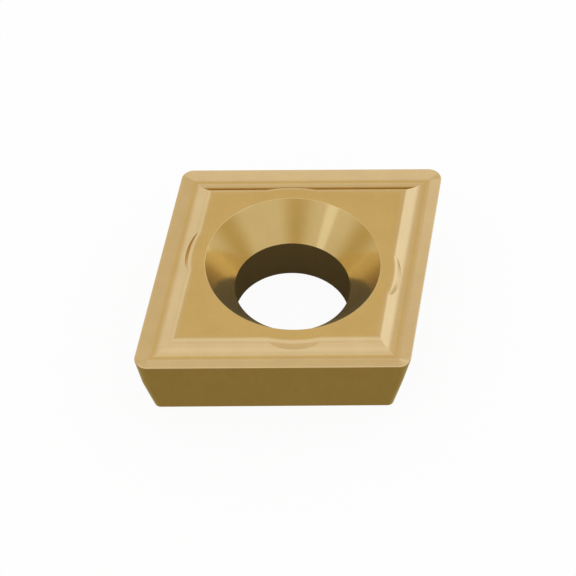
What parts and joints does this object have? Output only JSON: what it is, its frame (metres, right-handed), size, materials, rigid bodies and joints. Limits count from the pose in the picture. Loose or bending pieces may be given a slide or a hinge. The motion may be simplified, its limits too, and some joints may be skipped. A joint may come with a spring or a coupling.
{
  "type": "carbide insert",
  "caption": "Rhombic positive cutting insert of gold-coated carbide, with a pressed chipbreaker and a countersunk screw hole.",
  "frame": {"origin": "point where the screw hole's axis meets the flat seat, at the middle of the underside", "axes": "+Z along the screw hole's axis, from the seat up to the chipbreaker; +X along the front cutting edge, the long way across the rhombus; +Y from the front cutting edge to the back one"},
  "size_m": [0.0092, 0.008, 0.0025],
  "materials": {
    "coated_carbide": "satin gold-coloured nitride coating"
  },
  "bodies": {
    "root": {"insert_body": "coated_carbide"}
  },
  "joints": []
}
